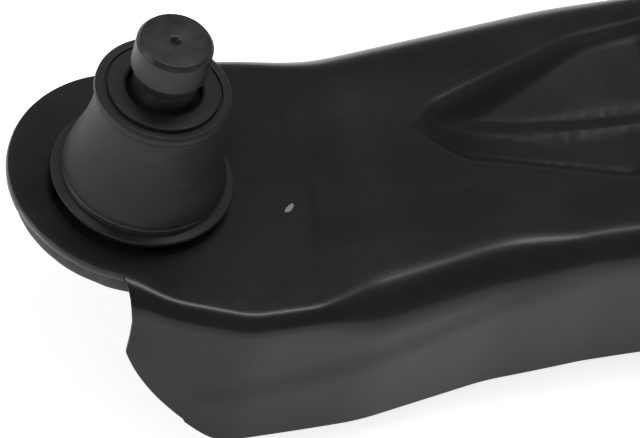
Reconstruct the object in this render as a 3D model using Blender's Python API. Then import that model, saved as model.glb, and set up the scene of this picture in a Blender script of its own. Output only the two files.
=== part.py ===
"""Lower control arm: a pressed steel arm with a ball joint and two rubber bushes.

Metres, +Z up along the ball stud. +X runs from the ball joint to the inboard
end and +Y points to the side of the rear leg. The origin is the centre of the
flat underside of the ball joint's bottom cover.
"""

import math

import bmesh
import bpy
from mathutils import Matrix, Vector

MM = 0.001

# ---- pressed sheet ----
GAP = 0.3 * MM
SHEET = 3.2 * MM
TOP_Z = 16.0 * MM
WALL_DEPTH = 43.3 * MM
BEND_RADIUS = 8.0 * MM
WALL_DRAFT = math.radians(2.0)
NOTCH_DEPTH = 18.8 * MM
LOBE_CENTRE = (1.5 * MM, 2.5 * MM)
LOBE_RADIUS = 34.0 * MM
LOBE_FROM = math.radians(78.0)
LOBE_TO = math.radians(243.0)
LOWER_PLATE_END_X = 68.0 * MM
LOWER_PLATE_INSET = 8.8 * MM
SPACING = 15.0 * MM

# Corners of the wall's top line after the lobe, with their fillet radii, in mm.
ARM_CORNERS = (
    (-6.0, -43.0, 20.0),
    (10.0, -51.5, 24.0),
    (46.0, -54.5, 60.0),
    (84.0, -51.0, 80.0),
    (112.0, -51.8, 60.0),
    (180.0, -58.0, 120.0),
    (258.0, -83.0, 60.0),
    (336.0, -83.0, 14.0),
    (336.0, -37.0, 14.0),
    (254.0, -22.0, 30.0),
    (250.0, 50.0, 60.0),
    (293.0, 150.0, 60.0),
    (293.0, 216.0, 14.0),
    (243.0, 216.0, 14.0),
    (240.0, 150.0, 60.0),
    (222.0, 96.0, 60.0),
    (186.0, 33.0, 34.0),
    (132.0, 36.0, 200.0),
    (56.0, 33.6, 120.0),
)

# Boxes that trim the ends of the two legs, as low and high corners in mm.
FRONT_TRIM = ((304.0, -110.0, -60.0), (360.0, 0.0, 40.0))
REAR_TRIM = ((220.0, 176.0, -60.0), (320.0, 240.0, 40.0))

# Corners of the scooped pocket between the rails, with fillet radii, in mm.
POCKET_RIM = (
    (75.5, 0.5, 5.0),
    (86.0, -14.0, 14.0),
    (128.0, -31.5, 40.0),
    (196.0, -41.0, 40.0),
    (238.0, -44.0, 16.0),
    (229.0, 28.0, 40.0),
    (236.0, 80.0, 14.0),
    (190.0, 23.0, 50.0),
    (132.0, 20.5, 50.0),
    (86.0, 8.2, 12.0),
)
POCKET_SLOPE = 15.0 * MM
POCKET_SHALLOW = 5.0 * MM
POCKET_DEEP = 14.0 * MM
POCKET_SHALLOW_X = 80.0 * MM
POCKET_DEEP_X = 160.0 * MM
POCKET_SPINE = ((104.0 * MM, -2.0 * MM), (212.0 * MM, 8.0 * MM))

# ---- ball joint ----
BALL_Z = 18.5 * MM
BALL_RADIUS = 12.5 * MM
SEAT_RADIUS = 12.8 * MM
HOUSING_RADIUS = 18.5 * MM
NECK_RADIUS = 6.5 * MM

# ---- front bush, axis along Y ----
FRONT_BUSH = (318.0 * MM, -60.0 * MM, -8.0 * MM)
FRONT_TUBE = (21.0 * MM, 24.0 * MM, 50.0 * MM)
FRONT_OUTER = (18.2 * MM, 20.7 * MM, 51.0 * MM)
FRONT_RUBBER = (9.8 * MM, 17.9 * MM, 48.0 * MM)
FRONT_INNER = (6.2 * MM, 9.5 * MM, 58.0 * MM)

# ---- rear bush, axis along Z ----
REAR_BUSH = (268.0 * MM, 190.0 * MM, 0.0 * MM)
REAR_RING = (28.0 * MM, 31.0 * MM, 40.0 * MM)
REAR_OUTER = (25.5 * MM, 27.7 * MM, 41.0 * MM)
REAR_RUBBER = (11.3 * MM, 25.2 * MM, 36.0 * MM)
REAR_INNER = (7.2 * MM, 11.0 * MM, 50.0 * MM)

# ---- weld beads ----
BEAD_RADIUS = 2.2 * MM

ROUND_STEPS = 32
COLLECTION = "control_arm"


def clear_file():
    """Empty the file so the build always starts from nothing."""
    for item in list(bpy.data.objects):
        bpy.data.objects.remove(item, do_unlink=True)
    for item in list(bpy.data.collections):
        bpy.data.collections.remove(item)


def new_collection(name):
    """Return a new collection linked to the scene."""
    collection = bpy.data.collections.new(name)
    bpy.context.scene.collection.children.link(collection)
    return collection


def new_material(name, colour, metallic, roughness):
    """Return a plain Principled material."""
    material = bpy.data.materials.new(name)
    material.use_nodes = True
    shader = material.node_tree.nodes["Principled BSDF"]
    shader.inputs["Base Color"].default_value = (*colour, 1.0)
    shader.inputs["Metallic"].default_value = metallic
    shader.inputs["Roughness"].default_value = roughness
    material.diffuse_color = (*colour, 1.0)
    return material


def make_materials():
    """Return the materials by name."""
    return {
        "coat": new_material("black_coat", (0.016, 0.016, 0.017), 0.0, 0.38),
        "steel": new_material("dark_steel", (0.09, 0.09, 0.095), 0.9, 0.42),
        "zinc": new_material("zinc_steel", (0.55, 0.55, 0.56), 1.0, 0.35),
        "rubber": new_material("black_rubber", (0.030, 0.030, 0.032), 0.0, 0.6),
        "plastic": new_material("seat_plastic", (0.72, 0.70, 0.64), 0.0, 0.45),
        "weld": new_material("coated_weld", (0.022, 0.022, 0.023), 0.0, 0.5),
        "spring": new_material("spring_steel", (0.30, 0.30, 0.31), 1.0, 0.38),
    }


def new_object(name, mesh, material, collection):
    """Link a mesh as a named object with its own copy of a material."""
    body = bpy.data.objects.new(name, mesh)
    own = material.copy()
    own.name = name + "_material"
    mesh.materials.append(own)
    collection.objects.link(body)
    return body


def mesh_from(bm, name):
    """Write a bmesh to a new mesh with its faces pointing outwards."""
    bmesh.ops.recalc_face_normals(bm, faces=bm.faces)
    mesh = bpy.data.meshes.new(name)
    bm.to_mesh(mesh)
    bm.free()
    return mesh


# ---- turned pieces ----
def turned_mesh(name, profile, steps=ROUND_STEPS):
    """Spin a closed profile of (radius, height) points about Z."""
    bm = bmesh.new()
    loop = [bm.verts.new((radius, 0.0, height)) for radius, height in profile]
    edges = []
    for first, second in zip(loop, loop[1:]):
        edges.append(bm.edges.new((first, second)))
    if profile[0][0] > 0.0:
        edges.append(bm.edges.new((loop[-1], loop[0])))
    bmesh.ops.spin(
        bm,
        geom=loop + edges,
        cent=(0.0, 0.0, 0.0),
        axis=(0.0, 0.0, 1.0),
        angle=math.tau,
        steps=steps,
        use_merge=True,
    )
    bmesh.ops.remove_doubles(bm, verts=bm.verts, dist=0.00001)
    return mesh_from(bm, name)


def turned_piece(name, profile_mm, material, collection, location=(0.0, 0.0, 0.0)):
    """Make a turned piece from a profile in millimetres."""
    profile = [(radius * MM, height * MM) for radius, height in profile_mm]
    body = new_object(name, turned_mesh(name, profile), material, collection)
    body.location = location
    return body


def sleeve(name, sizes, material, collection, location, along_y=False, edge=0.5 * MM):
    """Make a plain sleeve with chamfered ends from (inner, outer, length)."""
    inner, outer, length = sizes
    half = length / 2.0
    profile = [
        (inner, -half + edge),
        (inner + edge, -half),
        (outer - edge, -half),
        (outer, -half + edge),
        (outer, half - edge),
        (outer - edge, half),
        (inner + edge, half),
        (inner, half - edge),
    ]
    body = new_object(name, turned_mesh(name, profile), material, collection)
    body.location = location
    if along_y:
        body.rotation_euler = (math.radians(-90.0), 0.0, 0.0)
    return body


# ---- outlines ----
def fillet(before, corner, after, radius):
    """Return points that round one corner of an outline."""
    here = Vector(corner)
    back = (Vector(before) - here).normalized()
    ahead = (Vector(after) - here).normalized()
    half_angle = back.angle(ahead) / 2.0
    reach = min(radius / math.tan(half_angle), 0.48 * (Vector(before) - here).length)
    reach = min(reach, 0.48 * (Vector(after) - here).length)
    start = here + back * reach
    end = here + ahead * reach
    turn = math.pi - 2.0 * half_angle
    count = max(2, math.ceil(turn / math.radians(16.0)) + 1)
    points = []
    for index in range(count):
        share = index / (count - 1)
        low = start.lerp(here, share)
        high = here.lerp(end, share)
        points.append(low.lerp(high, share))
    return points


def split_long_sides(points, closed, spacing):
    """Add points so that no side is longer than the spacing."""
    result = []
    last = len(points) if closed else len(points) - 1
    for index in range(last):
        here = points[index]
        there = points[(index + 1) % len(points)]
        count = max(1, math.ceil((there - here).length / spacing))
        for step in range(count):
            result.append(here.lerp(there, step / count))
    if not closed:
        result.append(points[-1])
    return result


def arm_outline():
    """Return the wall's top line, anticlockwise, starting at the notch."""
    reach = LOBE_RADIUS + BEND_RADIUS
    arc = []
    for index in range(19):
        angle = LOBE_FROM + (LOBE_TO - LOBE_FROM) * index / 18
        x = LOBE_CENTRE[0] + reach * math.cos(angle)
        y = LOBE_CENTRE[1] + reach * math.sin(angle)
        arc.append(Vector((x, y)))
    corners = [(x * MM, y * MM, radius * MM) for x, y, radius in ARM_CORNERS]
    points = []
    for index, (x, y, radius) in enumerate(corners):
        before = arc[-1] if index == 0 else corners[index - 1][:2]
        after = arc[0] if index == len(corners) - 1 else corners[index + 1][:2]
        points += fillet(before, (x, y), after, radius)
    return split_long_sides(points + arc, True, SPACING)


def outward(points):
    """Return the outward unit normal at each point of an anticlockwise line."""
    normals = []
    for index, here in enumerate(points):
        back = (here - points[index - 1]).normalized()
        ahead = (points[(index + 1) % len(points)] - here).normalized()
        first = Vector((back.y, -back.x))
        second = Vector((ahead.y, -ahead.x))
        middle = (first + second).normalized()
        normals.append(middle / max(0.5, middle.dot(first)))
    return normals


def wall_depth(point):
    """Return how far the wall hangs down at a point of the outline."""
    x = point.x / MM
    if point.y < 0.0:
        if x < -15.6:
            return 0.0
        share = min(1.0, max(0.0, (x + 15.6) / 21.0))
        return NOTCH_DEPTH + (WALL_DEPTH - NOTCH_DEPTH) * share
    share = min(1.0, max(0.0, (x - 16.0) / 30.0))
    return WALL_DEPTH * share


def wall_profile(inner):
    """Return one skin's section of bend and wall as (offset, depth) pairs."""
    skin = SHEET if inner else 0.0
    radius = BEND_RADIUS - skin
    section = []
    last = math.pi / 2.0 - WALL_DRAFT
    for index in range(5):
        angle = last * index / 4
        offset = radius * math.sin(angle) - BEND_RADIUS
        depth = BEND_RADIUS - radius * math.cos(angle)
        section.append((offset, depth))
    offset, depth = section[-1]
    for share in (0.5, 1.0):
        drop = (WALL_DEPTH - depth) * share
        section.append((offset + drop * math.tan(WALL_DRAFT), depth + drop))
    return section


def clipped(section, index, limit):
    """Return one point of the section, held at a depth limit."""
    offset, depth = section[index]
    if depth <= limit or index == 0:
        return offset, depth
    low_offset, low_depth = clipped(section, index - 1, limit)
    if low_depth >= limit or depth <= low_depth:
        return low_offset, low_depth
    share = (limit - low_depth) / (depth - low_depth)
    return low_offset + (offset - low_offset) * share, limit


# ---- pocket ----
def pocket_depth(x):
    """Return the pocket's depth at a distance along the arm."""
    share = (x - POCKET_SHALLOW_X) / (POCKET_DEEP_X - POCKET_SHALLOW_X)
    share = min(1.0, max(0.0, share))
    return POCKET_SHALLOW + (POCKET_DEEP - POCKET_SHALLOW) * share


def pocket_rings():
    """Return the pocket's rim and floor lines with matching points."""
    corners = [(x * MM, y * MM, radius * MM) for x, y, radius in POCKET_RIM]
    rim = []
    for index, (x, y, radius) in enumerate(corners):
        after = corners[(index + 1) % len(corners)][:2]
        rim += fillet(corners[index - 1][:2], (x, y), after, radius)
    rim = split_long_sides(rim, True, SPACING * 1.4)
    first = Vector(POCKET_SPINE[0])
    along = Vector(POCKET_SPINE[1]) - first
    floor = []
    for here in rim:
        share = (here - first).dot(along) / along.length_squared
        nearest = first + along * min(1.0, max(0.0, share))
        inward = nearest - here
        slope = min(POCKET_SLOPE, 0.55 * inward.length)
        floor.append(here + inward.normalized() * slope)
    return rim, floor


# ---- pressed pieces ----
def add_ring(bm, points):
    """Add a closed ring of vertices and edges."""
    ring = [bm.verts.new(point) for point in points]
    edges = [bm.edges.new((a, b)) for a, b in zip(ring, ring[1:] + ring[:1])]
    return ring, edges


def join_rings(bm, upper, lower):
    """Fill the band between two rings with matching vertices."""
    count = len(upper)
    for index in range(count):
        after = (index + 1) % count
        corners = (upper[index], lower[index], lower[after], upper[after])
        bm.faces.new(corners)


def pushed(points, distance):
    """Return a closed line moved outwards by a distance."""
    return [here + normal * distance for here, normal in zip(points, outward(points))]


def add_skin(bm, outline, inner):
    """Add the outer or the inner skin of the sheet and return its lowest ring."""
    drop = SHEET if inner else 0.0
    section = wall_profile(inner)
    normals = outward(outline)
    rings = []
    top_edges = []
    for index in range(len(section)):
        points = []
        for here, normal in zip(outline, normals):
            offset, depth = clipped(section, index, wall_depth(here))
            flat = here + normal * offset
            points.append((flat.x, flat.y, TOP_Z - depth))
        ring, edges = add_ring(bm, points)
        if index == 0:
            top_edges = edges
        else:
            join_rings(bm, rings[-1], ring)
        rings.append(ring)
    rim, floor = pocket_rings()
    if inner:
        rim = pushed(rim, 0.45 * SHEET)
        floor = pushed(floor, 0.45 * SHEET)
    upper, upper_edges = add_ring(bm, [(p.x, p.y, TOP_Z - drop) for p in rim])
    lower_points = [(p.x, p.y, TOP_Z - drop - pocket_depth(p.x)) for p in floor]
    lower, lower_edges = add_ring(bm, lower_points)
    join_rings(bm, upper, lower)
    top = top_edges + upper_edges
    bmesh.ops.triangle_fill(bm, use_beauty=True, use_dissolve=False, edges=top)
    bmesh.ops.triangle_fill(bm, use_beauty=True, use_dissolve=False, edges=lower_edges)
    return rings[-1]


def sheet_solid():
    """Return the pressed sheet as a closed bmesh."""
    bm = bmesh.new()
    outline = arm_outline()
    outer = add_skin(bm, outline, False)
    inner = add_skin(bm, outline, True)
    join_rings(bm, outer, inner)
    bmesh.ops.remove_doubles(bm, verts=bm.verts, dist=0.00002)
    bmesh.ops.dissolve_degenerate(bm, dist=0.00002, edges=bm.edges)
    return bm


def cut(body, cutter):
    """Take a cutter's shape away from a body with an exact Boolean."""
    modifier = body.modifiers.new("cut", "BOOLEAN")
    modifier.operation = "DIFFERENCE"
    modifier.solver = "EXACT"
    modifier.object = cutter


def cylinder_cutter(name, radius, length, location, cutters, along_y=False):
    """Make a cylinder used only for cutting."""
    bm = bmesh.new()
    bmesh.ops.create_cone(
        bm,
        cap_ends=True,
        segments=ROUND_STEPS * 2,
        radius1=radius,
        radius2=radius,
        depth=length,
    )
    cutter = bpy.data.objects.new(name, mesh_from(bm, name))
    cutter.location = location
    if along_y:
        cutter.rotation_euler = (math.radians(90.0), 0.0, 0.0)
    cutter.hide_render = True
    cutter.display_type = "WIRE"
    cutters.objects.link(cutter)
    return cutter


def box_cutter(name, low, high, cutters):
    """Make a box used only for cutting, from two corners in millimetres."""
    bm = bmesh.new()
    bmesh.ops.create_cube(bm, size=1.0)
    size = [(b - a) * MM for a, b in zip(low, high)]
    bmesh.ops.scale(bm, vec=size, verts=bm.verts)
    cutter = bpy.data.objects.new(name, mesh_from(bm, name))
    cutter.location = [(a + b) * MM / 2.0 for a, b in zip(low, high)]
    cutter.hide_render = True
    cutter.display_type = "WIRE"
    cutters.objects.link(cutter)
    return cutter


def make_upper_stamping(materials, collection, cutters):
    """Press the arm's upper sheet with its walls, pocket and joint hole."""
    mesh = mesh_from(sheet_solid(), "upper_stamping")
    body = new_object("upper_stamping", mesh, materials["coat"], collection)
    hole = HOUSING_RADIUS + GAP
    cut(body, cylinder_cutter("joint_hole", hole, 0.03, (0.0, 0.0, TOP_Z), cutters))
    cut(body, box_cutter("front_trim", *FRONT_TRIM, cutters))
    cut(body, box_cutter("rear_trim", *REAR_TRIM, cutters))
    tube = FRONT_TUBE[1] + GAP
    cut(body, cylinder_cutter("front_saddle", tube, 0.09, FRONT_BUSH, cutters, True))
    ring = REAR_RING[1] + GAP
    cut(body, cylinder_cutter("rear_saddle", ring, 0.12, REAR_BUSH, cutters))
    return body


def make_lower_plate(materials, collection, cutters):
    """Make the flat doubling plate under the ball joint's lobe."""
    outline = arm_outline()
    shape = []
    for here, normal in zip(outline, outward(outline)):
        inset = here - normal * LOWER_PLATE_INSET
        if inset.x < LOWER_PLATE_END_X:
            shape.append(inset)
    bm = bmesh.new()
    low = TOP_Z - 2.0 * SHEET - GAP
    face = bm.faces.new([bm.verts.new((p.x, p.y, low)) for p in shape])
    grown = bmesh.ops.extrude_face_region(bm, geom=[face])
    tops = [item for item in grown["geom"] if isinstance(item, bmesh.types.BMVert)]
    bmesh.ops.translate(bm, verts=tops, vec=(0.0, 0.0, SHEET))
    mesh = mesh_from(bm, "lower_plate")
    body = new_object("lower_plate", mesh, materials["coat"], collection)
    hole = HOUSING_RADIUS + GAP
    cut(body, cylinder_cutter("lower_hole", hole, 0.03, (0.0, 0.0, TOP_Z), cutters))
    return body


# ---- weld beads ----
def bead(name, points, cyclic, material, collection):
    """Make a round weld bead along a line of points."""
    curve = bpy.data.curves.new(name, "CURVE")
    curve.dimensions = "3D"
    curve.bevel_depth = BEAD_RADIUS
    curve.bevel_resolution = 2
    curve.use_fill_caps = True
    line = curve.splines.new("POLY")
    line.points.add(len(points) - 1)
    for target, point in zip(line.points, points):
        target.co = (*point, 1.0)
    line.use_cyclic_u = cyclic
    own = material.copy()
    own.name = name + "_material"
    curve.materials.append(own)
    body = bpy.data.objects.new(name, curve)
    collection.objects.link(body)
    return body


def arc_points(centre, radius, start, end, count):
    """Return points on a flat arc, angles in degrees."""
    points = []
    for index in range(count):
        angle = math.radians(start + (end - start) * index / (count - 1))
        x = centre[0] + radius * math.cos(angle)
        y = centre[1] + radius * math.sin(angle)
        points.append((x, y, centre[2]))
    return points


def make_welds(materials, collection):
    """Make the three visible weld beads."""
    side = HOUSING_RADIUS + GAP + BEAD_RADIUS
    under = TOP_Z - 2.0 * SHEET - 2.0 * GAP - BEAD_RADIUS
    ring = arc_points((0.0, 0.0, under), side, 0.0, 348.75, 32)
    bead("housing_weld", ring, True, materials["weld"], collection)
    x = FRONT_BUSH[0] - 12.6 * MM
    z = TOP_Z + 1.7 * MM
    ends = [(x, -78.0 * MM, z), (x, -60.0 * MM, z), (x, -42.0 * MM, z)]
    bead("front_eye_weld", ends, False, materials["weld"], collection)
    height = TOP_Z + GAP + BEAD_RADIUS
    side = REAR_RING[1] + 2.0 * GAP + BEAD_RADIUS
    centre = (REAR_BUSH[0], REAR_BUSH[1], height)
    arc = arc_points(centre, side, 226.0, 308.0, 10)
    bead("rear_eye_weld", arc, False, materials["weld"], collection)


# ---- ball joint ----
def ball_arc(radius, low, high, count):
    """Return profile points on a sphere about the ball's centre, in mm."""
    points = []
    for index in range(count):
        height = low + (high - low) * index / (count - 1)
        across = math.sqrt(max(0.0, radius * radius - height * height))
        points.append((across, BALL_Z / MM + height))
    return points


def make_housing(materials, collection):
    """Turn the cup that holds the ball, with its flange on the sheet."""
    profile = [
        (22.0, 18.7),
        (22.0, 16.3),
        (18.5, 16.3),
        (18.5, 1.2),
        (17.9, 0.4),
        (17.2, 0.4),
        (17.2, 3.8),
        (15.8, 3.8),
        (15.8, 26.2),
        (14.9, 27.2),
        (12.6, 27.2),
        (13.4, 29.5),
        (15.2, 29.5),
        (17.0, 27.0),
        (18.3, 23.0),
        (18.3, 18.7),
    ]
    turned_piece("joint_housing", profile, materials["steel"], collection)


def make_seats(materials, collection):
    """Turn the two plastic seats around the ball."""
    radius = SEAT_RADIUS / MM
    lower = ball_arc(radius, -11.6, -0.3, 8)
    lower += [(15.5, 18.2), (15.5, 8.0), (13.0, 5.6), (5.0, 5.6)]
    turned_piece("lower_ball_seat", lower, materials["plastic"], collection)
    upper = ball_arc(radius, 7.0, 0.0, 6)
    upper += [(15.5, 18.5), (15.5, 25.9), (14.6, 26.9), (12.0, 26.9)]
    turned_piece("upper_ball_seat", upper, materials["plastic"], collection)


def make_preload_spring(materials, collection):
    """Turn the coned disc spring that presses the lower seat up."""
    profile = [(7.0, 5.3), (7.0, 4.6), (14.4, 3.8), (14.4, 4.5)]
    turned_piece("preload_spring", profile, materials["spring"], collection)


def make_cover(materials, collection):
    """Turn the pressed-in bottom cover."""
    profile = [(0.0, 3.5), (16.3, 3.5), (16.9, 2.9), (16.9, 0.6), (16.3, 0.0), (0.0, 0.0)]
    turned_piece("joint_cover", profile, materials["steel"], collection)


def make_ball_stud(materials, collection):
    """Turn the stud with its ball, neck, pinch groove and centre drill."""
    ball = BALL_RADIUS / MM
    neck = NECK_RADIUS / MM
    profile = [
        (0.0, 69.0),
        (1.5, 70.3),
        (9.0, 70.3),
        (9.9, 69.0),
        (9.9, 61.2),
        (9.1, 59.8),
        (8.2, 58.0),
        (8.2, 52.4),
        (9.2, 51.2),
        (9.9, 50.0),
        (9.9, 40.0),
        (neck, 33.0),
        (neck, BALL_Z / MM + math.sqrt(ball ** 2 - neck ** 2)),
    ]
    profile += ball_arc(ball, 10.0, -ball, 11)
    turned_piece("ball_stud", profile, materials["steel"], collection)


def make_boot(materials, collection):
    """Turn the dust boot in three pieces and its two rings."""
    base = [
        (18.9, 19.0),
        (23.0, 19.0),
        (23.55, 19.5),
        (23.1, 20.2),
        (19.6, 20.2),
        (19.6, 22.2),
        (20.95, 22.4),
        (20.95, 23.4),
        (20.4, 23.8),
        (18.9, 23.8),
    ]
    turned_piece("boot_base", base, materials["rubber"], collection)
    bellows = [
        (20.3, 24.1),
        (19.6, 27.0),
        (18.8, 31.0),
        (18.1, 35.0),
        (17.5, 39.0),
        (17.2, 41.0),
        (15.2, 41.0),
        (15.5, 39.0),
        (16.1, 35.0),
        (16.8, 31.0),
        (17.7, 27.0),
        (18.6, 24.1),
    ]
    turned_piece("boot_bellows", bellows, materials["rubber"], collection)
    collar = [
        (17.15, 41.3),
        (16.8, 45.0),
        (16.5, 48.5),
        (17.2, 49.6),
        (17.6, 50.6),
        (17.6, 51.6),
        (17.1, 52.2),
        (15.1, 52.4),
        (14.8, 52.9),
        (10.6, 53.3),
        (10.3, 53.0),
        (10.3, 50.5),
        (13.6, 49.5),
        (14.6, 47.0),
        (15.1, 41.3),
    ]
    turned_piece("boot_collar", collar, materials["rubber"], collection)
    lower = [(19.9, 20.5), (20.6, 20.5), (20.8, 21.2), (20.6, 21.9), (19.9, 21.9)]
    turned_piece("boot_lower_ring", lower, materials["steel"], collection)
    upper = [(12.7, 46.8), (14.25, 46.8), (13.4, 49.0), (12.7, 49.0)]
    turned_piece("boot_upper_ring", upper, materials["steel"], collection)


# ---- bushes ----
def make_front_bush(materials, collection):
    """Make the welded tube and the bush whose axis lies across the arm."""
    tools = (collection, FRONT_BUSH, True)
    sleeve("front_eye_tube", FRONT_TUBE, materials["coat"], *tools)
    sleeve("front_bush_outer_sleeve", FRONT_OUTER, materials["zinc"], *tools)
    sleeve("front_bush_rubber", FRONT_RUBBER, materials["rubber"], *tools)
    sleeve("front_bush_inner_sleeve", FRONT_INNER, materials["zinc"], *tools)


def make_rear_bush(materials, collection):
    """Make the welded ring and the bush whose axis stands upright."""
    tools = (collection, REAR_BUSH)
    sleeve("rear_eye_ring", REAR_RING, materials["coat"], *tools)
    sleeve("rear_bush_outer_can", REAR_OUTER, materials["zinc"], *tools)
    sleeve("rear_bush_rubber", REAR_RUBBER, materials["rubber"], *tools)
    sleeve("rear_bush_inner_sleeve", REAR_INNER, materials["zinc"], *tools)


def main():
    """Build every piece in assembly order."""
    clear_file()
    collection = new_collection(COLLECTION)
    cutters = new_collection("cutters")
    materials = make_materials()
    make_upper_stamping(materials, collection, cutters)
    make_lower_plate(materials, collection, cutters)
    make_housing(materials, collection)
    make_seats(materials, collection)
    make_preload_spring(materials, collection)
    make_cover(materials, collection)
    make_ball_stud(materials, collection)
    make_boot(materials, collection)
    make_front_bush(materials, collection)
    make_rear_bush(materials, collection)
    make_welds(materials, collection)


main()
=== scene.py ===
"""A pressed steel lower control arm with its ball joint, dust boot and two bushes.

Every piece is laid out in millimetres from the sizes that its class holds and
made in metres, with +Z up along the ball stud and +X running from the ball joint
to the inboard end.
"""

import logging
import math
from dataclasses import dataclass, field
from enum import Enum
from typing import Sequence

import bmesh
import bpy
import numpy as np
from mathutils import Matrix, Vector, noise
from mathutils.geometry import delaunay_2d_cdt

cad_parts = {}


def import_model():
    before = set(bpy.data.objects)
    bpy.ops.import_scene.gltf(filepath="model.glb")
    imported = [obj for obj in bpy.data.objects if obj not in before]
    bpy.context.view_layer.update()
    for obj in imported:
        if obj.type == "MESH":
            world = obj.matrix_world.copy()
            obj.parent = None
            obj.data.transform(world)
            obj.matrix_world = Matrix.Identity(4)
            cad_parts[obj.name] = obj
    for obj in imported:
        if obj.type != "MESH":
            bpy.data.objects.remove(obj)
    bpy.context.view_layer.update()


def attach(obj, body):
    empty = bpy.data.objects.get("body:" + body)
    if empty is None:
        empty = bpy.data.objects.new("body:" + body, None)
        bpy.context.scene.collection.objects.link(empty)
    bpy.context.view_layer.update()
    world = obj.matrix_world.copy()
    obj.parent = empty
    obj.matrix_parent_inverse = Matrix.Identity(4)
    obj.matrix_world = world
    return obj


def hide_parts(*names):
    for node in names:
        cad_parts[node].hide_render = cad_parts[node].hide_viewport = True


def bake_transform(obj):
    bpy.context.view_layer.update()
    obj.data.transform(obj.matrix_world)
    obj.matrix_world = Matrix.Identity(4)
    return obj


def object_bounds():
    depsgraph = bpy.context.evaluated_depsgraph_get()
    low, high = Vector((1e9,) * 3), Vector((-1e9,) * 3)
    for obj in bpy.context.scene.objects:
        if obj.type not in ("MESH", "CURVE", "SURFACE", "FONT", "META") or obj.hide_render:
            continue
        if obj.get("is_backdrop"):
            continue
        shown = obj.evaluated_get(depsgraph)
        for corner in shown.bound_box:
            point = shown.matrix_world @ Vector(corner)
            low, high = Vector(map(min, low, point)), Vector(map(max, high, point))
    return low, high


logging.basicConfig(level=logging.INFO, format="%(levelname)s %(message)s")
LOG = logging.getLogger("control_arm")

Point2 = tuple[float, float]
Point3 = tuple[float, float, float]
Profile = list[Point2]
Colour = tuple[float, float, float]
Socket = bpy.types.NodeSocket
Material = bpy.types.Material
Piece = bpy.types.Object
Mesh = bmesh.types.BMesh
Vert = bmesh.types.BMVert
Edge = bmesh.types.BMEdge

MM = 0.001
TOP_Z = 16.0
SHEET = 3.2
JOINT_HOLE = 18.8
FRONT_EYE = (318.0, -60.0, -8.0)
REAR_EYE = (268.0, 190.0, 0.0)


class Body(str, Enum):
    """The rigid bodies that a piece may ride on."""

    ARM = "arm"
    BOOT_MIDDLE = "boot_middle"
    BOOT_TOP = "boot_top"
    STUD = "stud"
    FRONT_INNER = "front_inner"
    REAR_INNER = "rear_inner"


class BushAxis(Enum):
    """The direction of a bush's bore."""

    ACROSS = "across"
    UPRIGHT = "upright"


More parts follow.
